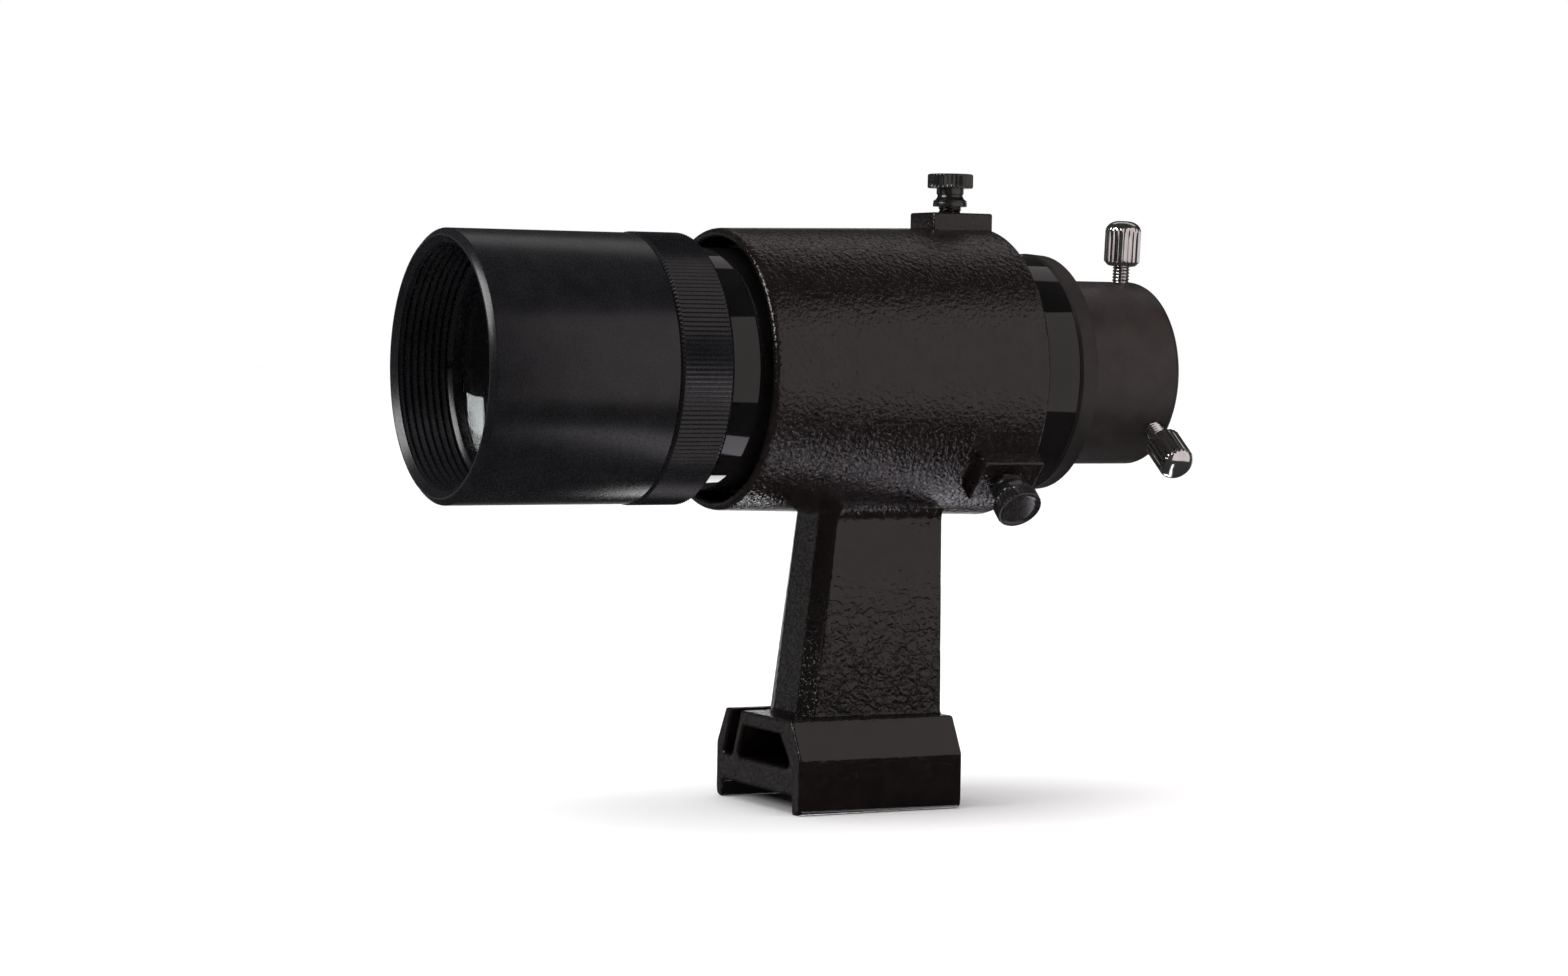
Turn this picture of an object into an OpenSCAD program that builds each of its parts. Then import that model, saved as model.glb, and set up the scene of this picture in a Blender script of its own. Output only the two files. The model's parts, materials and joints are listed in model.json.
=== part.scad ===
// Finder scope of 50 mm aperture in a one-ring adjustable bracket.
// +Y runs along the optical axis towards the eye, +Z is up, and the origin is
// the centre of the underside of the bracket's foot. All sizes are millimetres.

/* [Optical tube] */
// Height of the optical axis above the underside of the foot
axis_height = 93.7; // [92:0.1:98]
// Outer radius of the main tube
tube_r = 25.85; // [25.6:0.05:25.9]
// Wall thickness of the main tube
tube_wall = 2.05; // [1.8:0.05:2.2]
// Station of the rear end of the main tube
tube_end_y = 44.0; // [42:0.1:48]

/* [Objective cell] */
// Outer radius of the turning objective cell
cell_r = 28.5; // [28:0.1:30]
// Station of the front rim
rim_y = -94.3; // [-96:0.1:-94]
// Station of the seam between the cell and the lock ring
seam_y = -52.7; // [-53:0.1:-52]
// Radius of the glass
lens_r = 25.2; // [25:0.05:25.2]
// Outer radius of the lock ring
lock_r = 28.75; // [28.2:0.05:30]
// Station of the rear face of the lock ring
lock_end_y = -40.5; // [-44:0.1:-39]

/* [Eyepiece holder] */
// Radius of the eyepiece bore, for a 31.75 mm barrel
eyepiece_r = 15.95; // [15.9:0.01:16]
// Depth of the eyepiece bore
eyepiece_depth = 24.0; // [20:0.5:24]
// Outer radius of the eyepiece holder
holder_r = 20.4; // [20:0.1:22]
// Station of the rear face of the eyepiece holder
holder_end_y = 73.8; // [73:0.1:76]
// Largest radius of the rear ring
rear_ring_r = 26.2; // [26:0.1:27]
// Angle of the upper clamp screw about the optical axis, from +X
top_clamp_angle = 86; // [60:1:100]
// Angle of the lower clamp screw about the optical axis, from +X
side_clamp_angle = -37; // [-60:1:0]

/* [Bracket ring] */
// Bore radius of the bracket ring
ring_bore_r = 27.9; // [27.8:0.05:28]
// Outer radius of the bracket ring at its front
ring_front_r = 30; // [29.9:0.05:31]
// Outer radius of the bracket ring at its rear
ring_rear_r = 31.5; // [31:0.05:32]
// Station of the front of the bracket ring
ring_front_y = -31.9; // [-34:0.1:-31]
// Station of the rear of the bracket ring
ring_rear_y = 33.4; // [33:0.1:34]
// Station of the three adjusting screws
adjuster_y = 25.6; // [24:0.1:26]
// Distance of a boss's outer face from the optical axis
boss_top = 34.6; // [34:0.1:35.5]
// Angles of the two adjusting screws, then of the spring plunger
top_adjuster_angle = 90; // [80:1:100]
side_adjuster_angle = -42; // [-50:1:-35]
plunger_angle = 222; // [215:1:230]

/* [Stem and foot] */
// Half the width of the stem below the ring
stem_half = 9.3; // [8:0.1:9.5]
// Half the width of the stem at the foot
stem_foot_half = 10.4; // [9.5:0.1:11]
// Station of the stem's front face at the foot
stem_front_y = -13.3; // [-16:0.1:-12]
// Length of the foot
foot_long = 39.4; // [36:0.2:44]
// Half the width of the foot below its crease
foot_half = 19.8; // [19.6:0.1:20.2]
// Half the width of the top of the foot
foot_top_half = 15.6; // [15.4:0.1:16]
// Height of the crease on the side of the foot
foot_crease_z = 12.0; // [11:0.1:13]
// Height of the top of the foot
foot_top_z = 19.7; // [19.4:0.1:21]

/* [Hidden] */
$fn = 96;
TRUE_CURVE = 200;
FIT = 0.04;             // gap between pieces that are fixed to each other
RUN = 0.05;             // running clearance of pieces that turn or slide
tube_bore_r = tube_r - tube_wall;
tube_front_y = -66.8;
focus_pitch = 1.0;
thread_deep = 0.4;
o_ring_y = -24.0;
o_ring_wire = 1.42;
groove_half = 2.0;
groove_floor_r = ring_bore_r - 2 * o_ring_wire - 2 * RUN - 0.01;
socket_r = 24.6;        // seat of the rear ring inside the tube
socket_deep = 8.0;

crown_front_R = 98;     // radii of the four glass surfaces
crown_back_R = 72;
flint_front_R = 74;
flint_back_R = 240;
crown_y = rim_y + 12.12;
crown_thick = 9.5;
air_gap = 1.0;
flint_y = crown_y + crown_thick + air_gap;
flint_thick = 3.5;
glass_bore_r = lens_r + 0.1;
aperture_r = 23.8;      // clear opening of the retaining ring
seat_r = 23.6;          // clear opening of the shoulder behind the flint
rim_bore_r = 25.4;
rim_pitch = 0.8;
retainer_long = 3.0;
retainer_y = crown_y + sag(crown_front_R, aperture_r) - RUN - retainer_long;
spacer_r = 24.3;
spacer_y = crown_y + crown_thick - sag(crown_back_R, spacer_r) + 0.02;
spacer_end_y = flint_y - sag(flint_front_R, lens_r) - 0.02;
seat_y = flint_y + flint_thick - sag(flint_back_R, seat_r) + RUN;

rear_bore_r = 17.9;     // opening of the rear ring, which carries the holder
stop_r = 14.5;          // opening in front of the eyepiece bore
holder_seam_y = tube_end_y + 4.4;
holder_edge = 2.2;
clamp_y = holder_end_y - 4.6;
clamp_pitch = 0.7;
clamp_thread_r = 1.95;
clamp_tip = 16.4;       // distances along a clamp screw, from the optical axis
clamp_knob = 24.0;
clamp_knob_r = 4.02;
knob_socket = 5.0;
flutes = 24;

adjuster_thread_r = 2.5;
adjuster_pitch = 0.8;
tip_base = 27.6;        // distances along an adjusting screw
tip_pin = 31.0;
collar_low = 36.0;
collar_top = 37.1;
neck_low = 38.5;
head_low = 40.0;
head_top = 43.15;
head_r = 5.0;
serrations = 30;

boss_wide = 10.8;
boss_long = 14.8;
boss_shift = 0.4;       // how far a boss's middle stands behind its screw
boss_corner = 1.2;
plunger_bore_r = 3.5;
shell_top = 40.0;       // distances along the plunger
cap_top = 41.4;
pin_r = 1.5;
pin_shoulder = 31.6;
spring_low = 33.2;
spring_top = 39.1;

stem_chamfer = [4.4, 2.2];
stem_foot_chamfer = [5.2, 1.8];
stem_top_z = axis_height - ring_bore_r - 0.4;
stem_lean = (stem_top_z - foot_top_z) * 0.116;

// ---- shared functions and helpers ----

// Depth of a spherical surface of radius R at distance r from its axis
function sag(R, r) = R - sqrt(R * R - r * r);

// Points of an arc about centre c, from angle a to angle b
function arc(c, r, a, b, steps = 8) =
    [for (i = [0:steps]) let (t = a + (b - a) * i / steps) c + r * [cos(t), sin(t)]];

// Zigzag outline of thread ridges between two radii, from one station to another
function ridges(low, high, from, to, pitch) =
    let (count = floor((to - from) / pitch))
    [for (i = [0:count - 1]) each [[low, from + i * pitch], [high, from + (i + 0.5) * pitch]]];

function reversed(list) = [for (i = [len(list) - 1:-1:0]) list[i]];

// Turns an outline of [radius, station] points about the optical axis
module turned(outline) {
    on_axis() rotate_extrude() polygon(outline);
}

// Local +Z runs along the optical axis towards the eye
module on_axis() {
    translate([0, 0, axis_height]) rotate([-90, 0, 0]) children();
}

// Local +Z points outwards from the optical axis at an angle about it
module radial(station, angle) {
    translate([0, station, axis_height]) rotate([0, 90 - angle, 0]) children();
}

module rounded_rectangle(wide, long, corner) {
    square([wide - 2 * corner, long], center = true);
    square([wide, long - 2 * corner], center = true);
    for (x = [-1, 1], y = [-1, 1])
        translate([x * (wide / 2 - corner), y * (long / 2 - corner)]) circle(corner, $fn = 32);
}

// ---- bracket: one casting of ring, three bosses, stem and foot ----

module ring_casting() {
    front = ring_front_y;
    rear = ring_rear_y;
    turned(concat(
        [[ring_bore_r, front + 0.5], [ring_bore_r + 0.5, front]],
        arc([ring_front_r - 1, front + 1], 1, -90, 0),
        arc([ring_rear_r - 1, rear - 1], 1, 0, 90),
        [[ring_bore_r + 0.5, rear], [ring_bore_r, rear - 0.5]]));
}

module boss(angle) {
    low = ring_bore_r + 0.9;
    radial(adjuster_y, angle) translate([0, boss_shift, low])
        linear_extrude(boss_top - low) rounded_rectangle(boss_wide, boss_long, boss_corner);
}

module stem_slice(half, front, chamfer) {
    rear = foot_long / 2;
    linear_extrude(0.01) polygon([
        [-half, rear], [half, rear], [half, front + chamfer.y],
        [half - chamfer.x, front], [chamfer.x - half, front], [-half, front + chamfer.y]]);
}

module stem() {
    hull() {
        translate([0, 0, foot_top_z - 0.4])
            stem_slice(stem_foot_half, stem_front_y, stem_foot_chamfer);
        translate([0, 0, stem_top_z])
            stem_slice(stem_half, stem_front_y + stem_lean, stem_chamfer);
    }
}

// Concave fillets that lead the sides of the stem into the ring
module saddle() {
    fillet = 4;
    outer = (ring_front_r + ring_rear_r) / 2;
    inner = stem_half + 0.2;
    far = inner + fillet;
    drop = sqrt((outer + fillet) * (outer + fillet) - far * far);
    front = stem_front_y + stem_lean + stem_chamfer.y;
    rear = foot_long / 2 - 0.3;
    touch = outer * [far, -drop] / (outer + fillet);
    for (side = [0, 1])
        mirror([side, 0, 0]) translate([0, rear, axis_height]) rotate([90, 0, 0])
            linear_extrude(rear - front) difference() {
                polygon([[inner - 2, -drop], [inner, -drop], touch,
                         touch + [-0.3, 1], [inner - 2, touch.y + 1]]);
                translate([far, -drop]) circle(fillet);
            }
}

module foot() {
    edge = 1.5;
    translate([0, foot_long / 2, 0]) rotate([90, 0, 0]) linear_extrude(foot_long) difference() {
        polygon(concat(
            arc([edge - foot_half, edge], edge, 180, 270),
            arc([foot_half - edge, edge], edge, 270, 360),
            [[foot_half, foot_crease_z], [foot_top_half, foot_top_z],
             [-foot_top_half, foot_top_z], [-foot_half, foot_crease_z]]));
        // channel in the underside
        translate([-16.8, -1]) square([32.9, 4.9]);
        // tunnel through the foot above its web
        polygon([[-9.9, 9.7], [15.7, 9.7], [10, 16.45], [-7.1, 16.45]]);
        // slot that sets the far outer wall free, open at the top
        polygon([[-12.4, 9.7], [-7.47, foot_top_z + 2], [-11.67, foot_top_z + 2], [-16.6, 9.7]]);
    }
}

module bracket() {
    color("#191617") difference() {
        union() {
            ring_casting();
            for (angle = [top_adjuster_angle, side_adjuster_angle, plunger_angle]) boss(angle);
            stem();
            saddle();
            foot();
        }
        for (angle = [top_adjuster_angle, side_adjuster_angle])
            radial(adjuster_y, angle) translate([0, 0, 20])
                cylinder(r = adjuster_thread_r + RUN, h = 20);
        radial(adjuster_y, plunger_angle) translate([0, 0, 20])
            cylinder(r = plunger_bore_r, h = 20);
    }
}

// ---- optical tube ----

module main_tube() {
    thread = ridges(tube_r - thread_deep, tube_r, tube_front_y + 0.8, lock_end_y - 1.5,
                    focus_pitch);
    color("#0d0d10") turned(concat(
        [[tube_bore_r, tube_front_y], [tube_r - 0.6, tube_front_y]],
        thread,
        [[tube_r - thread_deep, lock_end_y - 1.5], [tube_r, lock_end_y - 1.1],
         [tube_r, o_ring_y - groove_half], [groove_floor_r, o_ring_y - groove_half],
         [groove_floor_r, o_ring_y + groove_half], [tube_r, o_ring_y + groove_half],
         [tube_r, tube_end_y], [socket_r, tube_end_y],
         [socket_r, tube_end_y - socket_deep], [tube_bore_r, tube_end_y - socket_deep]]));
}

// A thin knife-edged stop that keeps stray light off the wall of the tube
module baffle(station, opening) {
    outer = tube_bore_r - FIT;
    color("#101010") turned([
        [outer, station], [outer, station + 5], [outer - 0.8, station + 5],
        [outer - 0.8, station + 1], [opening, station + 0.3], [opening, station]]);
}

module front_baffle() {
    baffle(-50, 20.2);
}

module rear_baffle() {
    baffle(-2, 15.6);
}

module o_ring() {
    color("#1c1c1c") on_axis() rotate_extrude()
        translate([ring_bore_r - RUN - o_ring_wire, o_ring_y]) circle(o_ring_wire, $fn = 32);
}

module rear_ring() {
    color("#1d1b1c") turned([
        [rear_bore_r, tube_end_y - 7.5], [socket_r - FIT, tube_end_y - 7.5],
        [socket_r - FIT, tube_end_y + FIT], [rear_ring_r - 0.5, tube_end_y + FIT],
        [rear_ring_r, tube_end_y + 0.6], [rear_ring_r - 0.3, holder_seam_y],
        [rear_bore_r, holder_seam_y]]);
}

module eyepiece_holder() {
    stop_y = holder_end_y - eyepiece_depth;
    color("#242021") difference() {
        turned(concat(
            [[stop_r, tube_end_y - 6], [rear_bore_r - FIT, tube_end_y - 6],
             [rear_bore_r - FIT, holder_seam_y + FIT], [holder_r, holder_seam_y + FIT]],
            arc([holder_r - holder_edge, holder_end_y - holder_edge], holder_edge, 0, 90),
            [[eyepiece_r + 0.5, holder_end_y], [eyepiece_r, holder_end_y - 0.5],
             [eyepiece_r, stop_y], [stop_r, stop_y]]));
        for (angle = [top_clamp_angle, side_clamp_angle])
            radial(clamp_y, angle) translate([0, 0, 14]) cylinder(r = clamp_thread_r + RUN, h = 8);
    }
}

// ---- objective ----

module objective_cell() {
    ledge_y = tube_front_y - 0.6;
    color("#141519") turned(concat(
        [[cell_r - 0.9, rim_y], [cell_r, rim_y + 0.9], [cell_r, seam_y - 0.3],
         [cell_r - 0.3, seam_y], [tube_r + RUN + 0.4, seam_y], [tube_r + RUN, seam_y - 0.4],
         [tube_r + RUN, ledge_y], [seat_r, ledge_y], [seat_r, seat_y],
         [glass_bore_r, seat_y], [glass_bore_r, retainer_y + retainer_long],
         [rim_bore_r, retainer_y + retainer_long]],
        reversed(ridges(rim_bore_r + 0.45, rim_bore_r, rim_y + 0.9,
                        retainer_y + retainer_long, rim_pitch)),
        [[rim_bore_r + 0.8, rim_y]]));
}

module lens_retaining_ring() {
    outer = rim_bore_r - RUN;
    color("#131313") difference() {
        turned([[aperture_r + 0.8, retainer_y], [outer, retainer_y],
                [outer, retainer_y + retainer_long], [aperture_r, retainer_y + retainer_long],
                [aperture_r, retainer_y + 0.8]]);
        // two slots for a spanner
        for (side = [0, 180])
            radial(retainer_y, side) translate([-0.8, -1, 20]) cube([1.6, 2, 8]);
    }
}

// A spherical surface that bulges towards the front from its vertex station
module ball(vertex, radius, facets) {
    on_axis() translate([0, 0, vertex + radius]) sphere(abs(radius), $fn = facets);
}

module crown_lens() {
    color("#9fb7c4", 0.4) intersection() {
        on_axis() translate([0, 0, crown_y - 1]) cylinder(r = lens_r, h = crown_thick + 2);
        ball(crown_y, crown_front_R, TRUE_CURVE);
        ball(crown_y + crown_thick, -crown_back_R, TRUE_CURVE);
    }
}

module lens_spacer() {
    outer = lens_r - 0.05;
    inner = spacer_r;
    color("#c8c8c8") turned([
        [inner, spacer_y], [outer, spacer_y], [outer, spacer_end_y], [inner, spacer_end_y]]);
}

module flint_lens() {
    color("#a9b7a4", 0.4) difference() {
        intersection() {
            on_axis() translate([0, 0, flint_y - 6]) cylinder(r = lens_r, h = flint_thick + 7);
            ball(flint_y + flint_thick, -flint_back_R, 300);
        }
        ball(flint_y, -flint_front_R, TRUE_CURVE);
    }
}

module lock_ring() {
    edge = 0.6;
    bore = tube_r + RUN;
    front = seam_y + RUN;
    color("#17181b") turned([
        [bore, front + 0.4], [bore + 0.4, front], [lock_r - edge, front], [lock_r, front + edge],
        [lock_r, lock_end_y - edge], [lock_r - edge, lock_end_y],
        [bore + 0.4, lock_end_y], [bore, lock_end_y - 0.4]]);
}

// ---- screws; each is drawn along +Z by its distance from the optical axis ----

module clamp_stud() {
    color("#c9c9cc") rotate_extrude() polygon(concat(
        [[0, clamp_tip], [clamp_thread_r - 0.5, clamp_tip]],
        ridges(clamp_thread_r - 0.25, clamp_thread_r, clamp_tip + 0.5, clamp_knob + 1, clamp_pitch),
        [[clamp_thread_r - 0.25, clamp_knob + 1], [clamp_thread_r - 0.25, clamp_knob + knob_socket],
         [0, clamp_knob + knob_socket]]));
}

module clamp_knob() {
    r = clamp_knob_r;
    top = clamp_knob + 10.1;
    socket = clamp_thread_r + 0.03;
    color("#d6d6da") difference() {
        rotate_extrude() polygon(concat(
            [[socket, clamp_knob], [r - 1.1, clamp_knob], [r, clamp_knob + 1]],
            [for (t = [0:15:90]) [0.9 + (r - 0.9) * cos(t), top - 2.4 + 2.4 * sin(t)]],
            [[0, top], [0, clamp_knob + knob_socket + 0.05],
             [socket, clamp_knob + knob_socket + 0.05]]));
        for (i = [0:flutes - 1])
            rotate(i * 360 / flutes) translate([r + 0.15, 0, clamp_knob - 1])
                cylinder(r = 0.42, h = 9.9, $fn = 16);
    }
}

module adjuster_tip() {
    dome_R = 6;
    dome_r = 2.2;
    low = tube_r + RUN;
    color("#e4e2da") {
        intersection() {
            translate([0, 0, low]) cylinder(r = dome_r, h = tip_base - low);
            translate([0, 0, low + dome_R]) sphere(dome_R, $fn = TRUE_CURVE);
        }
        translate([0, 0, tip_base - 0.1]) cylinder(r = 1.2, h = tip_pin - tip_base);
    }
}

module adjuster_screw() {
    color("#1b1b1d") difference() {
        rotate_extrude() polygon(concat(
            [[1.25, tip_base + RUN], [adjuster_thread_r - 0.5, tip_base + RUN]],
            ridges(adjuster_thread_r - 0.3, adjuster_thread_r, tip_base + 0.4, collar_low,
                   adjuster_pitch),
            [[adjuster_thread_r - 0.3, collar_low], [3.75, collar_low], [3.75, collar_top],
             [2.9, neck_low], [2.9, head_low], [head_r - 0.3, head_low],
             [head_r, head_low + 0.3], [head_r, head_top - 0.4], [head_r - 0.4, head_top],
             [head_r - 0.9, head_top], [head_r - 1.3, head_top - 0.5], [0, head_top - 0.5],
             [0, tip_pin + RUN], [1.25, tip_pin + RUN]]));
        for (i = [0:serrations - 1])
            rotate(i * 360 / serrations) translate([head_r + 0.12, 0, head_low - 1])
                cylinder(r = 0.32, h = 5, $fn = 16);
    }
}

module top_clamp_stud() {
    radial(clamp_y, top_clamp_angle) clamp_stud();
}

module top_clamp_knob() {
    radial(clamp_y, top_clamp_angle) clamp_knob();
}

module side_clamp_stud() {
    radial(clamp_y, side_clamp_angle) clamp_stud();
}

module side_clamp_knob() {
    radial(clamp_y, side_clamp_angle) clamp_knob();
}

module top_adjuster_screw() {
    radial(adjuster_y, top_adjuster_angle) adjuster_screw();
}

module top_adjuster_tip() {
    radial(adjuster_y, top_adjuster_angle) adjuster_tip();
}

module side_adjuster_screw() {
    radial(adjuster_y, side_adjuster_angle) adjuster_screw();
}

module side_adjuster_tip() {
    radial(adjuster_y, side_adjuster_angle) adjuster_tip();
}

// ---- spring plunger that pushes the tube against the two screws ----

module plunger_shell() {
    outer = plunger_bore_r - FIT;
    color("#1b1b1d") radial(adjuster_y, plunger_angle) rotate_extrude() polygon([
        [pin_r + RUN, 28.2], [outer, 28.2], [outer, boss_top + FIT], [4.1, boss_top + FIT],
        [4.5, boss_top + 0.5], [4.5, shell_top], [2.5, shell_top], [2.5, 30],
        [pin_r + RUN, 30]]);
}

module plunger_pin() {
    color("#d0c090") radial(adjuster_y, plunger_angle) rotate_extrude() polygon(concat(
        [[0, tube_r + RUN]],
        arc([0, tube_r + RUN + pin_r], pin_r, -75, 0, 5),
        [[pin_r, pin_shoulder], [2.45, pin_shoulder], [2.45, pin_shoulder + 1.5],
         [0.9, pin_shoulder + 1.5], [0.9, 36], [0, 36]]));
}

// Closed tube of octagonal wire wound along +Z
module coil(mean, wire, low, high, turns) {
    sides = 8;
    rings = turns * 12;
    points = [for (i = [0:rings], j = [0:sides - 1])
        let (turn = i * 30, round = j * 360 / sides, reach = mean + wire * cos(round))
        [reach * cos(turn), reach * sin(turn), low + (high - low) * i / rings + wire * sin(round)]];
    walls = [for (i = [0:rings - 1], j = [0:sides - 1])
        let (a = i * sides + j, b = i * sides + (j + 1) % sides)
        each [[a, b, b + sides], [a, b + sides, a + sides]]];
    ends = [[for (j = [sides - 1:-1:0]) j], [for (j = [0:sides - 1]) rings * sides + j]];
    polyhedron(points, concat(walls, ends));
}

module plunger_spring() {
    wire = 0.3;
    color("#b9b9bd") radial(adjuster_y, plunger_angle)
        coil(1.7, wire, spring_low + wire, spring_top - wire, 5);
}

module plunger_cap() {
    color("#1b1b1d") radial(adjuster_y, plunger_angle) difference() {
        rotate_extrude() polygon([
            [0, spring_top + FIT], [2.5 - FIT, spring_top + FIT], [2.5 - FIT, shell_top + FIT],
            [4.5, shell_top + FIT], [4.5, cap_top - 0.5], [4.0, cap_top], [0, cap_top]]);
        translate([-5, -0.5, cap_top - 0.7]) cube([10, 1, 2]);
    }
}

bracket();
main_tube();
objective_cell();
lens_retaining_ring();
crown_lens();
lens_spacer();
flint_lens();
lock_ring();
front_baffle();
rear_baffle();
o_ring();
rear_ring();
eyepiece_holder();
top_clamp_stud();
top_clamp_knob();
side_clamp_stud();
side_clamp_knob();
top_adjuster_screw();
top_adjuster_tip();
side_adjuster_screw();
side_adjuster_tip();
plunger_shell();
plunger_pin();
plunger_spring();
plunger_cap();
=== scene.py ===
"""Looks of the finder scope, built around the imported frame. Lengths inside the shape
functions are millimetres, and each piece's placing matrix turns them into the frame's metres."""
import json
import math

import bmesh
import bpy
import numpy as np
from mathutils import Matrix, Vector


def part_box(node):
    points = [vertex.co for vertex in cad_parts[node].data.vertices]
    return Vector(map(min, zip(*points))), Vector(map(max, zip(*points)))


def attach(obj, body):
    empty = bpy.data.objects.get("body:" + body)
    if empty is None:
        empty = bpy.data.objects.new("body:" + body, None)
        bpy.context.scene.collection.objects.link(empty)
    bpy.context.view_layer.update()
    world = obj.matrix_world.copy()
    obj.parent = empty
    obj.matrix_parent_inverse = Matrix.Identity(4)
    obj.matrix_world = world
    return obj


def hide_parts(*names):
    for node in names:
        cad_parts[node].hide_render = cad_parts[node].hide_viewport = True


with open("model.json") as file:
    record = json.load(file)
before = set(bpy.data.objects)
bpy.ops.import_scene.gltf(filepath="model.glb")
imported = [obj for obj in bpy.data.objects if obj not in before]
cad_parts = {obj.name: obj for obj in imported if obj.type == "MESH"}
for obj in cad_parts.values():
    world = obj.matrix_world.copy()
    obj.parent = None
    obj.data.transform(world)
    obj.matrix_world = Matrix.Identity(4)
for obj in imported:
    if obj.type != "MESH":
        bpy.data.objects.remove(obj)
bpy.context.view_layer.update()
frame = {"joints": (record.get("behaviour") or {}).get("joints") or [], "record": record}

MM = 0.001
TAU = 2 * math.pi

record = frame["record"]
MOUNTS = {m["name"]: m for m in record["mounts"]}
JOINTS = {j["name"]: j for j in frame["joints"]}
BODY_OF = {n: b for b, nodes in record["behaviour"]["bodies"].items() for n in nodes}
AXIS_Z = MOUNTS["eyepiece_bore"]["pos_m"][2] / MM


# ---- placing and measuring ----

def place_on_axis():
    """Local +Z runs along the optical axis towards the eye, and local z is the row's y."""
    return Matrix.Scale(MM, 4) @ Matrix.Translation((0, 0, AXIS_Z)) @ Matrix.Rotation(-TAU / 4, 4, "X")


def place_radial(joint):
    """Local +Z points outwards along a screw's joint, and local z is the distance from the
    optical axis. The spring plunger's joint is at the same station as the adjusting screws."""
    axis = Vector(JOINTS[joint]["axis"])
    station = JOINTS[joint].get("pos_m", JOINTS["top_adjuster_turn"]["pos_m"])[1] / MM
    angle = math.atan2(axis.z, axis.x)
    turn = Matrix.Rotation(TAU / 4 - angle, 4, "Y")
    return Matrix.Scale(MM, 4) @ Matrix.Translation((0, station, AXIS_Z)) @ turn


def stations(node):
    """First and last station of a node along the optical axis, in millimetres."""
    low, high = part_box(node)
    return low.y / MM, high.y / MM


def radius(node):
    """Outer radius of a node that is turned about the optical axis, in millimetres."""
    low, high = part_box(node)
    return (high.x - low.x) / 2 / MM


# ---- outlines ----

def arc(centre, r, start, end, steps=6):
    """Points of an arc, with angles in degrees."""
    angles = np.radians(np.linspace(start, end, steps + 1))
    return [(centre[0] + r * math.cos(a), centre[1] + r * math.sin(a)) for a in angles]


def rounded(outline, r, steps=3, sharpest=25):
    """Closed outline with every corner that turns by more than a few degrees rounded off."""
    points = [Vector(p) for p in outline]
    count = len(points)
    result = []
    for i, corner in enumerate(points):
        back = points[i - 1] - corner
        ahead = points[(i + 1) % count] - corner
        if back.length < 1e-6 or ahead.length < 1e-6:
            continue
        turn = math.pi - back.angle(ahead)
        on_the_axis = corner.x < 1e-6
        if math.degrees(turn) < sharpest or on_the_axis:
            result.append(tuple(corner))
            continue
        reach = min(r * math.tan(turn / 2), 0.45 * back.length, 0.45 * ahead.length)
        first = corner + back.normalized() * reach
        last = corner + ahead.normalized() * reach
        for s in range(steps + 1):
            t = s / steps
            result.append(tuple((1 - t) ** 2 * first + 2 * t * (1 - t) * corner + t * t * last))
    return result


def ridges(low, high, start, end, pitch):
    """Zigzag of thread ridges between two radii."""
    count = int((end - start) / pitch)
    points = []
    for i in range(count):
        points += [(low, start + i * pitch), (high, start + (i + 0.5) * pitch)]
    return points


def zigzag(x):
    """Triangle wave that runs from 0 to 1 and back while x grows by 1."""
    return np.abs(2 * (x - np.floor(x + 0.5)))


def sag(big_r, r):
    """Depth of a spherical surface at distance r from its axis."""
    return big_r - math.sqrt(big_r * big_r - r * r)


# ---- meshes ----

def new_object(name, mesh):
    piece = bpy.data.objects.new(name, mesh)
    bpy.context.scene.collection.objects.link(piece)
    return piece


def shade(mesh, crease=35):
    """Smooth shading that stays crisp at real edges."""
    mesh.polygons.foreach_set("use_smooth", [True] * len(mesh.polygons))
    mesh.set_sharp_from_angle(angle=math.radians(crease))


def clean(mesh):
    """Merges the points that meet on an axis, and turns every face outwards."""
    shape = bmesh.new()
    shape.from_mesh(mesh)
    bmesh.ops.remove_doubles(shape, verts=shape.verts, dist=1e-7)
    bmesh.ops.recalc_face_normals(shape, faces=shape.faces)
    shape.to_mesh(mesh)
    shape.free()


def lathe(name, outline, matrix, around=160, wave=None):
    """Revolves a closed outline of (radius, height) points about local Z.
    wave(radius, height, turn) may move the points in or out, for knurls and threads."""
    outline = np.array(outline, float)
    rows = len(outline)
    turn = np.arange(around) * TAU / around
    r = np.repeat(outline[:, :1], around, 1)
    z = np.repeat(outline[:, 1:], around, 1)
    if wave:
        r = wave(r, z, turn[None, :])
    points = np.stack([r * np.cos(turn), r * np.sin(turn), z], -1).reshape(-1, 3)
    faces = []
    for i in range(rows):
        j = (i + 1) % rows
        if outline[i, 0] < 1e-9 and outline[j, 0] < 1e-9:
            continue
        for k in range(around):
            m = (k + 1) % around
            faces.append((i * around + k, i * around + m, j * around + m, j * around + k))
    mesh = bpy.data.meshes.new(name)
    mesh.from_pydata(points.tolist(), [], faces)
    mesh.transform(matrix)
    clean(mesh)
    shade(mesh)
    return new_object(name, mesh)


def prism(name, outline, matrix, length):
    """Extrudes a closed outline of (x, y) points by length along local Z."""
    mesh = bpy.data.meshes.new(name)
    count = len(outline)
    points = [(x, y, z) for z in (0, length) for x, y in outline]
    faces = [tuple(range(count))[::-1], tuple(range(count, 2 * count))]
    faces += [(i, (i + 1) % count, (i + 1) % count + count, i + count) for i in range(count)]
    mesh.from_pydata(points, [], faces)
    mesh.transform(matrix)
    clean(mesh)
    return new_object(name, mesh)


def applied(piece):
    """Bakes a piece's modifiers into its mesh."""
    graph = bpy.context.evaluated_depsgraph_get()
    baked = bpy.data.meshes.new_from_object(piece.evaluated_get(graph))
    piece.modifiers.clear()
    old = piece.data
    piece.data = baked
    bpy.data.meshes.remove(old)
    return piece


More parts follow.
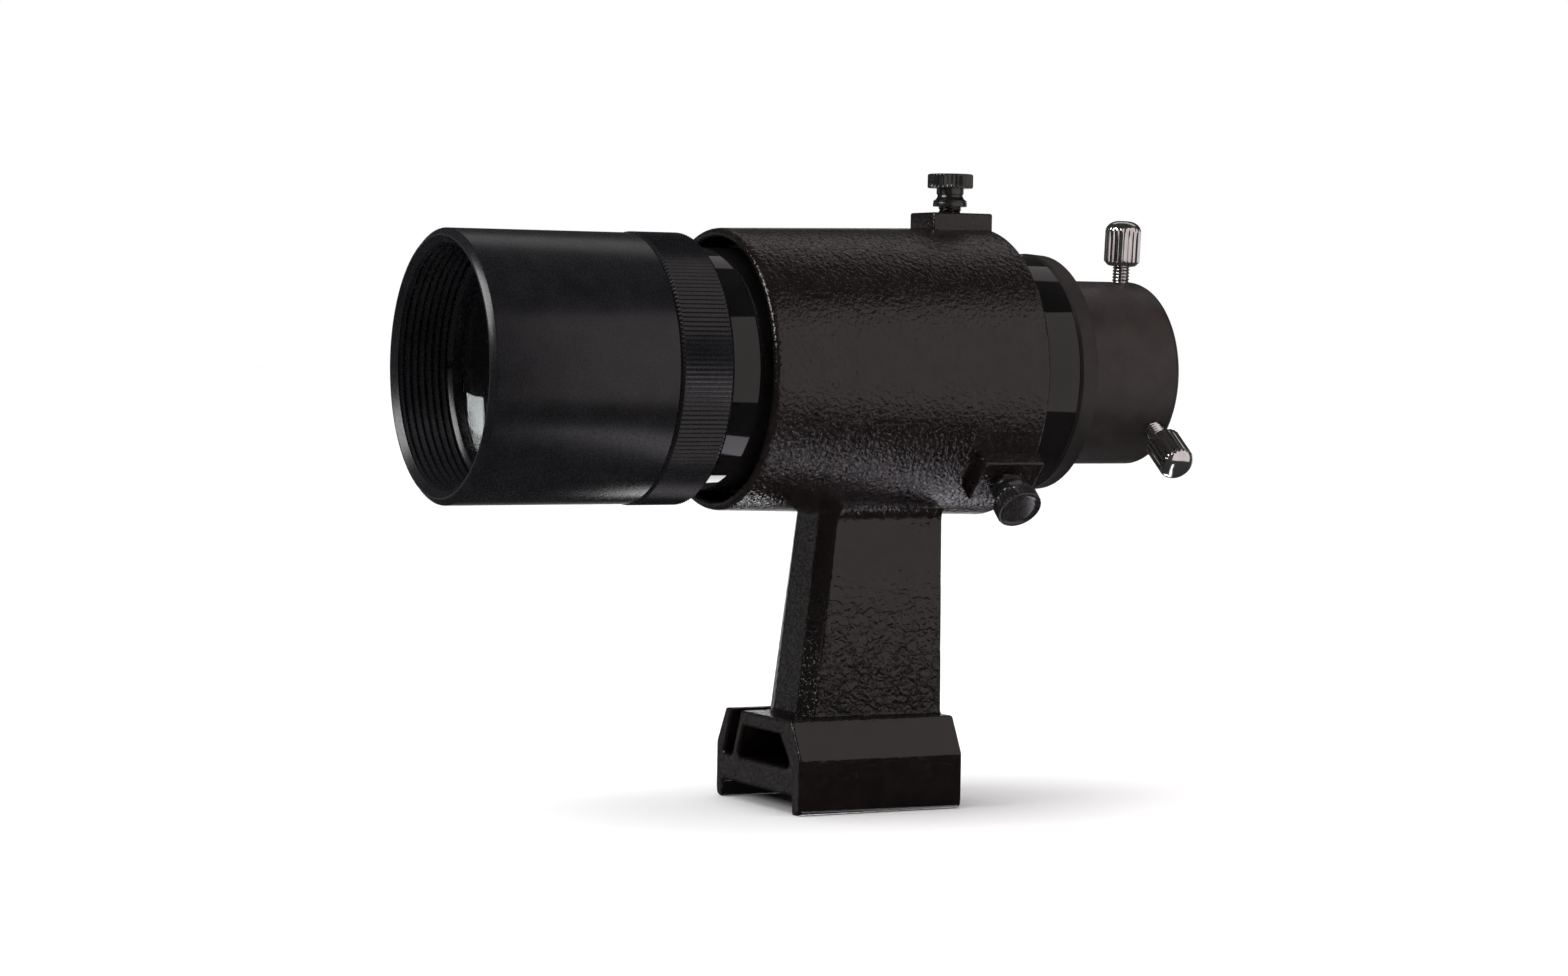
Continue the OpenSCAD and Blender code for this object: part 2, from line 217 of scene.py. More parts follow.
def combine(piece, tool, operation):
    """Joins tool to piece, or cuts it away, and removes tool."""
    change = piece.modifiers.new("boolean", "BOOLEAN")
    change.operation = operation
    change.solver = "MANIFOLD"
    change.object = tool
    applied(piece)
    mesh = tool.data
    bpy.data.objects.remove(tool)
    bpy.data.meshes.remove(mesh)
    return piece


def stand_for(piece, node, material):
    """Makes a piece stand for one CAD node: same body, its own material."""
    piece.data.materials.clear()
    piece.data.materials.append(material)
    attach(piece, BODY_OF[node])
    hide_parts(node)
    return piece


# ---- materials ----

class Shader:
    """A node material with a principled shader and a few shorthand builders."""

    def __init__(self, name, roughness, metallic=0.0, **sockets):
        self.material = bpy.data.materials.new(name)
        self.material.use_nodes = True
        self.tree = self.material.node_tree
        self.bsdf = self.tree.nodes["Principled BSDF"]
        self.bsdf.inputs["Roughness"].default_value = roughness
        self.bsdf.inputs["Metallic"].default_value = metallic
        for socket, value in sockets.items():
            self.bsdf.inputs[socket.replace("_", " ")].default_value = value
        self.where = self.add("ShaderNodeTexCoord").outputs["Object"]

    def add(self, kind, mode=None, **inputs):
        """A node with its inputs set or linked; mode is an (attribute, value) that comes first.
        Value_001 means the second of two inputs that are both called Value."""
        node = self.tree.nodes.new(kind)
        if mode:
            setattr(node, *mode)
        for socket, value in inputs.items():
            second = socket == "Value_001"
            target = node.inputs[1] if second else node.inputs[socket.replace("_", " ")]
            if isinstance(value, bpy.types.NodeSocket):
                self.tree.links.new(value, target)
            else:
                target.default_value = value
        return node

    def noise(self, scale, detail=3.0, rough=0.55, distortion=0.0):
        """Noise with features of about 1/scale metres."""
        node = self.add("ShaderNodeTexNoise", Vector=self.where, Scale=scale, Detail=detail,
                        Roughness=rough, Distortion=distortion)
        return node.outputs["Fac"]

    def spread(self, source, low, high, start=0.3, end=0.7):
        """Maps a texture value from start..end to low..high."""
        node = self.add("ShaderNodeMapRange", Value=source)
        for socket, value in (("From Min", start), ("From Max", end), ("To Min", low), ("To Max", high)):
            node.inputs[socket].default_value = value
        return node.outputs[0]

    def colours(self, source, first, second):
        """Base colour that wanders between two colours."""
        ramp = self.add("ShaderNodeValToRGB", Fac=source)
        ramp.color_ramp.elements[0].position = 0.35
        ramp.color_ramp.elements[1].position = 0.65
        ramp.color_ramp.elements[0].color = (*first, 1)
        ramp.color_ramp.elements[1].color = (*second, 1)
        self.tree.links.new(ramp.outputs["Color"], self.bsdf.inputs["Base Color"])

    def roughness(self, source, low, high):
        self.tree.links.new(self.spread(source, low, high), self.bsdf.inputs["Roughness"])

    def bump(self, source, distance, strength=1.0, under=None):
        """Height map in metres; under is an earlier bump's output."""
        node = self.add("ShaderNodeBump", Height=source, Distance=distance, Strength=strength)
        if under:
            self.tree.links.new(under, node.inputs["Normal"])
        self.tree.links.new(node.outputs["Normal"], self.bsdf.inputs["Normal"])
        return node.outputs["Normal"]

    def math(self, operation, first, second):
        node = self.add("ShaderNodeMath", ("operation", operation), Value=first, Value_001=second)
        return node.outputs[0]

    def product(self, first, second):
        return self.math("MULTIPLY", first, second)

    def turning_marks(self, distance, pitch=0.00025):
        """Fine rings that a lathe leaves, a function of the place along the optical axis."""
        split = self.add("ShaderNodeSeparateXYZ", Vector=self.where)
        node = self.add("ShaderNodeTexNoise", ("noise_dimensions", "1D"), W=split.outputs["Y"],
                        Scale=1 / pitch, Detail=2.0)
        return self.bump(node.outputs["Fac"], distance)


def bracket_paint():
    """Gloss black paint. Its orange peel is full on the ring and on faces that look along the
    optical axis, and faint elsewhere. On the stem's sides the paint runs together lower down."""
    s = Shader("bracket_paint", 0.09, IOR=1.5)
    s.colours(s.noise(260, 2), (0.0058, 0.0041, 0.0039), (0.0088, 0.0065, 0.0061))
    s.roughness(s.noise(500), 0.07, 0.12)
    height = s.add("ShaderNodeSeparateXYZ", Vector=s.where).outputs["Z"]
    faces = s.add("ShaderNodeTexCoord").outputs["Normal"]
    along = s.add("ShaderNodeSeparateXYZ", Vector=faces).outputs["Y"]
    ends = s.spread(s.product(along, along), 0.0, 1.0, 0.55, 0.8)
    high = s.spread(height, 0.2, 1.0, 0.058, 0.068)
    peel = s.product(s.noise(1050, 2.0, 0.5, distortion=0.4), s.math("MAXIMUM", ends, high))
    peel_normal = s.bump(peel, 0.00027)
    above_foot = s.spread(height, 0.08, 1.0, 0.0190, 0.0200)
    low = s.product(s.spread(height, 1.0, 0.0, 0.028, 0.057), above_foot)
    flanks = s.product(low, s.spread(ends, 1.0, 0.0, 0.0, 1.0))
    s.bump(s.product(s.noise(560, 2.0, 0.5, distortion=1.0), flanks), 0.0009, under=peel_normal)
    return s.material


def gloss_lacquer():
    s = Shader("gloss_lacquer", 0.04, IOR=1.5)
    s.colours(s.noise(120, 2), (0.0035, 0.0032, 0.0034), (0.0055, 0.0048, 0.0050))
    s.roughness(s.noise(900), 0.03, 0.06)
    s.bump(s.noise(160, 1.0), 0.00001, 0.35)
    return s.material


def cell_anodising():
    s = Shader("cell_anodising", 0.26, IOR=1.5)
    s.colours(s.noise(180, 3), (0.0050, 0.0048, 0.0062), (0.0078, 0.0074, 0.0094))
    s.roughness(s.noise(1500), 0.22, 0.30)
    marks = s.turning_marks(0.000005)
    s.bump(s.noise(900, 1.0), 0.000004, 0.5, marks)
    return s.material


def holder_anodising():
    s = Shader("holder_anodising", 0.42, IOR=1.44)
    s.colours(s.noise(200, 3), (0.0150, 0.0115, 0.0108), (0.0210, 0.0165, 0.0155))
    s.roughness(s.noise(1400), 0.38, 0.48)
    marks = s.turning_marks(0.000005)
    s.bump(s.noise(6000, 1.0), 0.000010, 0.6, marks)
    return s.material


def rear_ring_anodising():
    s = Shader("rear_ring_anodising", 0.5, IOR=1.45)
    s.colours(s.noise(200, 3), (0.0105, 0.0082, 0.0080), (0.0150, 0.0120, 0.0115))
    s.roughness(s.noise(1400), 0.46, 0.56)
    s.bump(s.noise(5200, 1.0), 0.000014, 0.7)
    return s.material


def matte_black():
    s = Shader("matte_black", 0.75, IOR=1.4)
    s.colours(s.noise(400, 3), (0.004, 0.004, 0.004), (0.008, 0.008, 0.008))
    s.roughness(s.noise(900), 0.65, 0.85)
    s.bump(s.noise(4000, 2.0), 0.00003, 0.8)
    return s.material


def chrome():
    s = Shader("screw_chrome", 0.12, 1.0)
    s.colours(s.noise(300, 3), (0.74, 0.73, 0.73), (0.86, 0.855, 0.85))
    s.roughness(s.noise(1200), 0.09, 0.19)
    s.bump(s.noise(2600, 2.0), 0.00001, 0.6)
    return s.material


def black_oxide():
    s = Shader("black_screw", 0.2, IOR=1.6, Coat_Weight=0.2, Coat_Roughness=0.1)
    s.colours(s.noise(700, 3), (0.0085, 0.0078, 0.0078), (0.0160, 0.0148, 0.0145))
    s.roughness(s.noise(1600), 0.16, 0.32)
    s.bump(s.noise(3800, 2.0), 0.000012, 0.7)
    return s.material


def coated_glass(name, tint, other):
    """Polished glass; the coating's tint wanders a little and there is a breath of dust."""
    s = Shader(name, 0.0, IOR=1.52, Transmission_Weight=1.0, Specular_IOR_Level=0.15)
    s.colours(s.noise(40, 1), tint, other)
    s.roughness(s.noise(700), 0.0, 0.012)
    return s.material


def plain(name, roughness, metallic, first, second, scale=900, height=0.00001):
    """Material of a small inner piece."""
    s = Shader(name, roughness, metallic)
    s.colours(s.noise(scale, 3), first, second)
    s.roughness(s.noise(scale * 2), roughness * 0.85, roughness * 1.2)
    s.bump(s.noise(scale * 3, 2.0), height, 0.6)
    return s.material


PAINT = bracket_paint()
LACQUER = gloss_lacquer()
CELL = cell_anodising()
HOLDER = holder_anodising()
REAR = rear_ring_anodising()
MATTE = matte_black()
CHROME = chrome()
BLACK = black_oxide()
CROWN_GLASS = coated_glass("crown_glass", (0.93, 0.97, 0.95), (0.90, 0.95, 0.96))
FLINT_GLASS = coated_glass("flint_glass", (0.90, 0.93, 0.86), (0.92, 0.94, 0.88))
RUBBER = plain("seal_rubber", 0.55, 0.0, (0.012, 0.012, 0.012), (0.02, 0.02, 0.02))
NYLON = plain("tip_nylon", 0.45, 0.0, (0.72, 0.70, 0.64), (0.80, 0.78, 0.73))
BRASS = plain("pin_brass", 0.25, 1.0, (0.60, 0.43, 0.17), (0.72, 0.54, 0.25))
STEEL = plain("spring_steel", 0.3, 1.0, (0.45, 0.45, 0.46), (0.58, 0.58, 0.59))
SPACER = plain("spacer_metal", 0.4, 1.0, (0.50, 0.50, 0.50), (0.62, 0.62, 0.62))


# ---- bracket casting ----

RING_FRONT, RING_REAR = stations("bracket")
RING_FRONT_R = 30.0
RING_REAR_R = 31.5
RING_BORE = 27.9
RING_EDGE = 1.1
RING_ENTRY = 0.6
BOSS_TOP = 34.6
BOSS_SIZE = (10.8, 14.8)
BOSS_SHIFT = 0.4
ADJUSTER_HOLE = 2.56
PLUNGER_HOLE = 3.5
FOOT_LONG = 39.4
FOOT_HALF = 19.8
FOOT_TOP_HALF = 15.6
FOOT_CREASE = 12.0
FOOT_TOP = 19.7
FOOT_TOE = 1.5
CHANNEL = (-16.8, 16.1, 3.9)
WEB_TOP = 9.7
STEM_FRONT = -13.3
STEM_LEAN = 5.3
STEM_FOOT_HALF = 10.4
STEM_HALF = 9.3
STEM_FOOT_CHAMFER = (5.2, 1.8)
STEM_CHAMFER = (4.4, 2.2)


def ring_radius(y):
    """Outer radius of the tapered ring at a station."""
    return RING_FRONT_R + (y - RING_FRONT) / (RING_REAR - RING_FRONT) * (RING_REAR_R - RING_FRONT_R)


def ring_shell():
    front, rear = RING_FRONT, RING_REAR
    outline = [(RING_BORE, front + RING_ENTRY), (RING_BORE + RING_ENTRY, front)]
    outline += arc((ring_radius(front) - RING_EDGE, front + RING_EDGE), RING_EDGE, -90, 0)
    outline += arc((ring_radius(rear) - RING_EDGE, rear - RING_EDGE), RING_EDGE, 0, 90)
    outline += [(RING_BORE + RING_ENTRY, rear), (RING_BORE, rear - RING_ENTRY)]
    return lathe("bracket_casting", outline, place_on_axis(), around=360)


def block(name, size, low, matrix, edge):
    """A box with rounded edges that stands on local z = low."""
    mesh = bpy.data.meshes.new(name)
    shape = bmesh.new()
    bmesh.ops.create_cube(shape, size=1)
    for v in shape.verts:
        v.co = Vector((v.co.x * size[0], v.co.y * size[1], (v.co.z + 0.5) * size[2] + low))
    bmesh.ops.bevel(shape, geom=shape.edges[:], offset=edge, segments=3, profile=0.5, affect="EDGES")
    shape.to_mesh(mesh)
    shape.free()
    mesh.transform(matrix)
    clean(mesh)
    return new_object(name, mesh)


def stem_shell(low, high):
    """The stem between two heights; it narrows and its front leans back as it rises."""
    def slice_at(half, front, chamfer):
        rear = FOOT_LONG / 2
        return [(-half, rear), (half, rear), (half, front + chamfer[1]), (half - chamfer[0], front),
                (chamfer[0] - half, front), (-half, front + chamfer[1])]

    bottom = slice_at(STEM_FOOT_HALF, STEM_FRONT, STEM_FOOT_CHAMFER)
    top = slice_at(STEM_HALF, STEM_FRONT + STEM_LEAN, STEM_CHAMFER)
    count = len(bottom)
    points = [(x, y, low) for x, y in bottom] + [(x, y, high) for x, y in top]
    faces = [tuple(range(count)), tuple(range(count, 2 * count))]
    faces += [(i, (i + 1) % count, (i + 1) % count + count, i + count) for i in range(count)]
    mesh = bpy.data.meshes.new("stem")
    mesh.from_pydata(points, [], faces)
    mesh.transform(Matrix.Scale(MM, 4))
    clean(mesh)
    return new_object("stem", mesh)


def along_y(front):
    """Outlines are drawn in x and z, and run from a front station towards +Y."""
    swap = Matrix(((1, 0, 0, 0), (0, 0, 1, front), (0, 1, 0, 0), (0, 0, 0, 1)))
    return Matrix.Scale(MM, 4) @ swap


def saddle_shell(side):
    """Concave fillet that leads one side of the stem into the ring."""
    fillet = 4.2
    inner = STEM_HALF + 0.1
    outer = ring_radius(5)
    far = inner + fillet
    drop = math.sqrt((outer + fillet) ** 2 - far ** 2)
    touch = Vector((far, -drop)) * (outer / (outer + fillet))
    curve = arc((far, -drop), fillet, 180, math.degrees(math.atan2(drop, -far)), 8)
    outline = [(inner - 3, -drop), *curve, (touch.x - 0.4, touch.y + 1.4), (inner - 3, touch.y + 1.4)]
    outline = [(side * x, AXIS_Z + z) for x, z in outline]
    front = STEM_FRONT + STEM_LEAN + 2.0
    return prism("saddle", outline, along_y(front), FOOT_LONG / 2 - 0.1 - front)


def foot_shell():
    """Dovetail foot: skirts, channel below, slot open at the top, tunnel through."""
    left, right, roof = CHANNEL
    toe = FOOT_HALF - FOOT_TOE
    outline = arc((-toe, FOOT_TOE), FOOT_TOE, 180, 270) + [(left, 0), (left, roof), (right, roof), (right, 0)]
    outline += arc((toe, FOOT_TOE), FOOT_TOE, 270, 360)
    outline += [(FOOT_HALF, FOOT_CREASE), (FOOT_TOP_HALF, FOOT_TOP)]
    outline += [(-8.3, FOOT_TOP), (-12.4, WEB_TOP), (-16.6, WEB_TOP), (-12.5, FOOT_TOP)]
    outline += [(-FOOT_TOP_HALF, FOOT_TOP), (-FOOT_HALF, FOOT_CREASE)]
    shell = prism("foot", outline, along_y(-FOOT_LONG / 2), FOOT_LONG)
    tunnel = rounded([(-9.9, WEB_TOP), (15.7, WEB_TOP), (10.0, 16.45), (-7.1, 16.45)], 1.2)
    return combine(shell, prism("tunnel", tunnel, along_y(-30), 60), "DIFFERENCE")


def smooth_ring(mesh):
    """Puts the points of the ring's outside and bore back on their true cone and cylinder."""
    co = np.empty(len(mesh.vertices) * 3, np.float32)
    mesh.vertices.foreach_get("co", co)
    co = co.reshape(-1, 3).astype(float)
    x, y, z = co[:, 0] / MM, co[:, 1] / MM, co[:, 2] / MM - AXIS_Z
    r = np.hypot(x, z)
    inside = (y > RING_FRONT + RING_EDGE + 0.2) & (y < RING_REAR - RING_EDGE - 0.2)
    farthest, blend = 0.34, 0.18
    for target in (ring_radius(y), np.full_like(y, RING_BORE)):
        away = np.abs(r - target)
        pull = np.clip((farthest - away) / blend, 0, 1) * inside
        change = 1 + pull * (target / np.maximum(r, 1e-6) - 1)
        x, z, r = x * change, z * change, r * change
    co[:, 0], co[:, 2] = x * MM, (z + AXIS_Z) * MM
    mesh.vertices.foreach_set("co", co.astype(np.float32).ravel())
    mesh.update()


def bracket():
    """Ring, stem and foot run together into one casting with soft edges; the bosses stay crisp."""
    casting = ring_shell()
    under_bore = AXIS_Z - RING_BORE - 0.5
    for part in (stem_shell(FOOT_TOP - 0.5, under_bore), saddle_shell(1), saddle_shell(-1), foot_shell()):
        combine(casting, part, "UNION")
    remesh = casting.modifiers.new("remesh", "REMESH")
    remesh.mode = "VOXEL"
    remesh.voxel_size = 0.36 * MM
    soften = casting.modifiers.new("soften", "SMOOTH")
    soften.factor = 0.5
    soften.iterations = 4
    applied(casting)
    smooth_ring(casting.data)
    low = RING_BORE + 0.8
    holes = {"top_adjuster_turn": ADJUSTER_HOLE, "side_adjuster_turn": ADJUSTER_HOLE,
             "plunger_follows_top_screw": PLUNGER_HOLE}
    for joint, r in holes.items():
        place = place_radial(joint)
        shifted = place @ Matrix.Translation((0, BOSS_SHIFT, 0))
        combine(casting, block("boss", (*BOSS_SIZE, BOSS_TOP - low), low, shifted, 0.5), "UNION")
        hole = [(0, 20), (r, 20), (r, 40), (0, 40)]
        combine(casting, lathe("hole", hole, place, 48), "DIFFERENCE")
    shade(casting.data, 40)
    return stand_for(casting, "bracket", PAINT)


# ---- optical tube ----

def main_tube():
    front, rear = stations("main_tube")
    r = radius("main_tube")
    bore = r - 2.05
    deep = 0.4
    thread_end = -42.0
    groove_front, groove_rear, groove_floor = -26.0, -22.0, 24.95
    socket, socket_front = 24.6, rear - 8
    outline = [(bore, front), (r - 0.6, front)] + ridges(r - deep, r, front + 0.8, thread_end, 1.0)
    outline += [(r - deep, thread_end), (r, thread_end + deep), (r, groove_front),
                (groove_floor, groove_front), (groove_floor, groove_rear), (r, groove_rear),
                (r, rear - 0.2), (r - 0.2, rear), (socket, rear), (socket, socket_front),
                (bore, socket_front)]
    return stand_for(lathe("main_tube_gloss", outline, place_on_axis(), 256), "main_tube", LACQUER)


def baffle(node, opening):
    """Thin light stop with a short wall that sits in the tube."""
    front, rear = stations(node)
    outer = radius(node)
    outline = [(outer, front), (outer, rear), (outer - 0.8, rear), (outer - 0.8, front + 1),
               (opening, front + 0.3), (opening, front)]
    return stand_for(lathe(node + "_stop", outline, place_on_axis()), node, MATTE)


def o_ring():
    front, rear = stations("o_ring")
    wire = (rear - front) / 2
    centre = (radius("o_ring") - wire, (front + rear) / 2)
    return stand_for(lathe("o_ring_seal", arc(centre, wire, 0, 345, 23), place_on_axis()),
                     "o_ring", RUBBER)


def rear_ring():
    front, rear = stations("rear_ring")
    r = radius("rear_ring")
    seam = stations("main_tube")[1] + 0.04
    spigot, bore = 24.56, 17.9
    outline = [(bore, front), (spigot, front), (spigot, seam), (r - 0.6, seam), (r, seam + 0.6),
               (r - 0.3, rear), (bore, rear)]
    return stand_for(lathe("rear_ring_turned", rounded(outline, 0.15), place_on_axis(), 256),
                     "rear_ring", REAR)


def eyepiece_holder():
    front, rear = stations("eyepiece_holder")
    r = radius("eyepiece_holder")
    bore = MOUNTS["eyepiece_bore"]["dims"]["r_mm"]
    seam = stations("rear_ring")[1] + 0.04
    stop = rear - 24.0
    edge, spigot, opening = 2.2, 17.86, 14.5
    outline = [(opening, front), (spigot, front), (spigot, seam), (r - 0.15, seam), (r, seam + 0.15)]
    outline += arc((r - edge, rear - edge), edge, 0, 90, 10)
    outline += [(bore + 0.6, rear), (bore, rear - 0.6), (bore, stop), (opening, stop)]
    holder = lathe("eyepiece_holder_turned", outline, place_on_axis(), 256)
    for joint in ("top_clamp_turn", "side_clamp_turn"):
        hole = [(0, 14), (2.0, 14), (2.0, r - 0.45), (2.4, r + 0.1), (2.4, 24), (0, 24)]
        combine(holder, lathe("hole", hole, place_radial(joint), 48), "DIFFERENCE")
    shade(holder.data)
    return stand_for(holder, "eyepiece_holder", HOLDER)


# ---- objective ----

RIM_BORE = 25.4
RIM_PITCH = 1.6
RIM_DEPTH = 0.5


def objective_cell():
    """Turned barrel with anti-glare grooves in front of the glass, and a ledge behind it."""
    front, rear = stations("objective_cell")
    r = radius("objective_cell")
    ledge_rear, seat = -67.4, -69.29
    ledge_bore, glass_bore = 23.6, 25.3
    retainer_end = stations("lens_retaining_ring")[1]
    fit = radius("main_tube") + 0.05
    outline = [(RIM_BORE + 1.5, front), *arc((r - 1.3, front + 0.25), 0.25, -90, -45, 2)]
    outline += [*arc((r - 0.35, front + 1.25), 0.35, -45, 0, 3), (r, rear - 0.3), (r - 0.3, rear)]
    outline += [(fit + 0.4, rear), (fit, rear - 0.4), (fit, ledge_rear), (ledge_bore, ledge_rear),
                (ledge_bore, seat), (glass_bore, seat), (glass_bore, retainer_end)]
    outline += ridges(RIM_BORE + RIM_DEPTH, RIM_BORE, front + 1.3, retainer_end, RIM_PITCH)[::-1]
    outline += [(RIM_BORE, front + 1.1)]
    return stand_for(lathe("objective_cell_turned", outline, place_on_axis(), 320),
                     "objective_cell", CELL)


def lens_retaining_ring():
    front, rear = stations("lens_retaining_ring")
    r = radius("lens_retaining_ring")
    outline = rounded([(24.6, front), (r, front), (r, rear), (23.8, rear), (23.8, front + 0.8)], 0.12)
    ring = lathe("lens_retaining_ring_turned", outline, place_on_axis(), 256)
    for side in (-1, 1):
        cut = Matrix.Translation((side * 24.6 * MM, front * MM, AXIS_Z * MM)) @ Matrix.Scale(MM, 4)
        combine(ring, block("spanner_slot", (4, 2.0, 1.6), -0.8, cut, 0.1), "DIFFERENCE")
    shade(ring.data)
    return stand_for(ring, "lens_retaining_ring", CELL)


def glass(node, first, second, material):
    """A lens from its two spherical surfaces, each (vertex station, radius, bulge):
    bulge is +1 where the surface bends away towards the rear, -1 towards the front."""
    r = radius(node)
    rim = np.linspace(0, r - 0.25, 25)
    front = [(x, first[0] + first[2] * sag(first[1], x)) for x in rim]
    back = [(x, second[0] + second[2] * sag(second[1], x)) for x in rim]
    edge = [(r, front[-1][1] + 0.25), (r, back[-1][1] - 0.25)]
    return stand_for(lathe(node + "_glass", front + edge + back[::-1], place_on_axis(), 192),
                     node, material)


def lenses():
    crown_front = stations("crown_lens")[0]
    crown_back = crown_front + 9.5
    flint_front = crown_back + 1.0
    flint_back = stations("flint_lens")[1]
    glass("crown_lens", (crown_front, 98, 1), (crown_back, 72, -1), CROWN_GLASS)
    glass("flint_lens", (flint_front, 74, -1), (flint_back, 240, -1), FLINT_GLASS)
    front, rear = stations("lens_spacer")
    r = radius("lens_spacer")
    outline = [(24.3, front), (r, front), (r, rear), (24.3, rear)]
    stand_for(lathe("lens_spacer_ring", outline, place_on_axis()), "lens_spacer", SPACER)


def lock_ring():
    front, rear = stations("lock_ring")
    r = radius("lock_ring")
    fit = radius("main_tube") + 0.05
    teeth, depth = 180, 0.3
    edge = 0.75
    rows = np.linspace(front + edge, rear - edge, 6)
    outline = [(fit, front + 0.4), (fit + 0.4, front), (r - edge, front)]
    outline += [(r, y) for y in rows]
    outline += [(r - edge, rear), (fit + 0.4, rear), (fit, rear - 0.4)]

    def knurl(rr, z, turn):
        inside = rr > r - 0.01
        return rr - inside * depth * zigzag(turn * teeth / TAU)

    return stand_for(lathe("lock_ring_knurled", outline, place_on_axis(), teeth * 6, knurl),
                     "lock_ring", CELL)


# ---- screws ----

def threaded(depth, pitch, low, high):
    """Wave for a lathe that cuts a right-hand helical thread between two heights."""
    def wave(r, z, turn):
        fade = np.clip((z - low) / pitch, 0, 1) * np.clip((high - z) / pitch, 0, 1)
        return np.where(r > 0.5, r - depth * fade * zigzag(z / pitch - turn / TAU), r)
    return wave


def clamp_screw(side):
    matrix = place_radial(side + "_clamp_turn")
    pitch, low, knob, r = 0.7, 16.4, 24.0, 4.02
    rows = np.arange(low + 0.4, knob + 1.2, pitch / 6)
    outline = [(0, low), (1.45, low)] + [(1.95, z) for z in rows]
    outline += [(1.7, knob + 1.4), (1.7, knob + 5), (0, knob + 5)]
    stud = lathe(side + "_clamp_stud_thread", outline, matrix, 48, threaded(0.3, pitch, low, 99))
    stand_for(stud, side + "_clamp_stud", CHROME)

    top = knob + 10.1
    dome = [(0.9 + (r - 0.9) * math.cos(t), top - 2.4 + 2.4 * math.sin(t))
            for t in np.radians(np.arange(0, 91, 7.5))]
    body = [(r, z) for z in np.linspace(knob + 1.1, top - 2.4, 6)]
    outline = [(2.0, knob), (r - 1.2, knob), (r - 0.9, knob + 0.12), (r - 0.1, knob + 0.95)]
    outline += body + dome[1:] + [(0, top), (0, knob + 5.05), (2.0, knob + 5.05)]
    flutes = 24

    def fluted(rr, z, turn):
        groove = np.clip(1 - zigzag(turn * flutes / TAU) / 0.55, 0, 1)
        groove = np.sqrt(np.clip(groove * (2 - groove), 0, 1))
        fade = np.clip((z - knob - 0.2) / 0.7, 0, 1) * np.clip((top - 1.5 - z) / 1.2, 0, 1)
        return np.where(rr > 2.5, rr - 0.34 * groove * fade, rr)

    grip = lathe(side + "_clamp_knob_fluted", outline, matrix, flutes * 12, fluted)
    stand_for(grip, side + "_clamp_knob", CHROME)


def adjuster(side):
    matrix = place_radial(side + "_adjuster_turn")
    tip, base, pin = 25.9, 27.6, 31.0
    dome = [(x, tip + sag(6, x)) for x in np.linspace(0, 2.2, 9)]
    outline = dome + [(2.2, base), (1.2, base), (1.2, pin - 0.1), (0, pin - 0.1)]
    stand_for(lathe(side + "_adjuster_tip_moulded", outline, matrix, 48), side + "_adjuster_tip", NYLON)

    pitch, collar, neck, head, top, r = 0.8, 36.0, 38.5, 40.0, 43.15, 5.0
    rows = np.arange(base + 0.3, collar - 0.05, pitch / 6)
    outline = [(1.25, base + 0.05), (2.1, base + 0.05)] + [(2.5, z) for z in rows]
    outline += rounded([(2.2, collar), (3.75, collar), (3.75, collar + 1.05)], 0.2)[1:-1]
    outline += arc((4.1, neck + 0.1), 1.35, -105, -175, 6) + [(3.0, neck + 0.35), (3.0, head)]
    outline += [(r - 0.45, head)] + arc((r - 0.35, head + 0.35), 0.35, -70, 0, 3)
    outline += [(r, z) for z in np.linspace(head + 0.5, top - 0.5, 5)]
    outline += arc((r - 0.4, top - 0.4), 0.4, 15, 90, 4)
    outline += [(r - 0.75, top), (r - 1.15, top - 0.4), (r - 1.5, top - 0.5), (0, top - 0.62),
                (0, pin + 0.05), (1.25, pin + 0.05)]
    serrations = 32
    cut_thread = threaded(0.32, pitch, base, collar)

    def wave(rr, z, turn):
        rr = np.where((z < collar) & (rr > 2.3), cut_thread(rr, z, turn), rr)
        grip = np.clip((z - head - 0.1) / 0.35, 0, 1) * np.clip((top - 0.15 - z) / 0.35, 0, 1)
        return np.where(rr > r - 0.5, rr - 0.27 * grip * zigzag(turn * serrations / TAU), rr)

    screw = lathe(side + "_adjuster_screw_serrated", outline, matrix, serrations * 8, wave)
    stand_for(screw, side + "_adjuster_screw", BLACK)


def plunger():
    matrix = place_radial("plunger_follows_top_screw")
    shell = rounded([(1.55, 28.2), (3.46, 28.2), (3.46, 34.64), (4.5, 34.64), (4.5, 40.0),
                     (2.5, 40.0), (2.5, 30.0), (1.55, 30.0)], 0.2)
    stand_for(lathe("plunger_shell_turned", shell, matrix, 96), "plunger_shell", BLACK)
    nose = [(0, 25.9)] + arc((0, 27.4), 1.5, -80, 0, 8)
    pin = nose + [(1.5, 31.6), (2.45, 31.6), (2.45, 33.1), (0.9, 33.1), (0.9, 36), (0, 36)]
    stand_for(lathe("plunger_pin_turned", pin, matrix, 64), "plunger_pin", BRASS)
    cap = rounded([(0, 39.14), (2.46, 39.14), (2.46, 40.04), (4.5, 40.04), (4.5, 41.4), (0, 41.4)], 0.3)
    lid = lathe("plunger_cap_turned", cap, matrix, 96)
    slot = block("slot", (12, 1.0, 2.0), 40.7, matrix, 0.05)
    combine(lid, slot, "DIFFERENCE")
    shade(lid.data)
    stand_for(lid, "plunger_cap", BLACK)


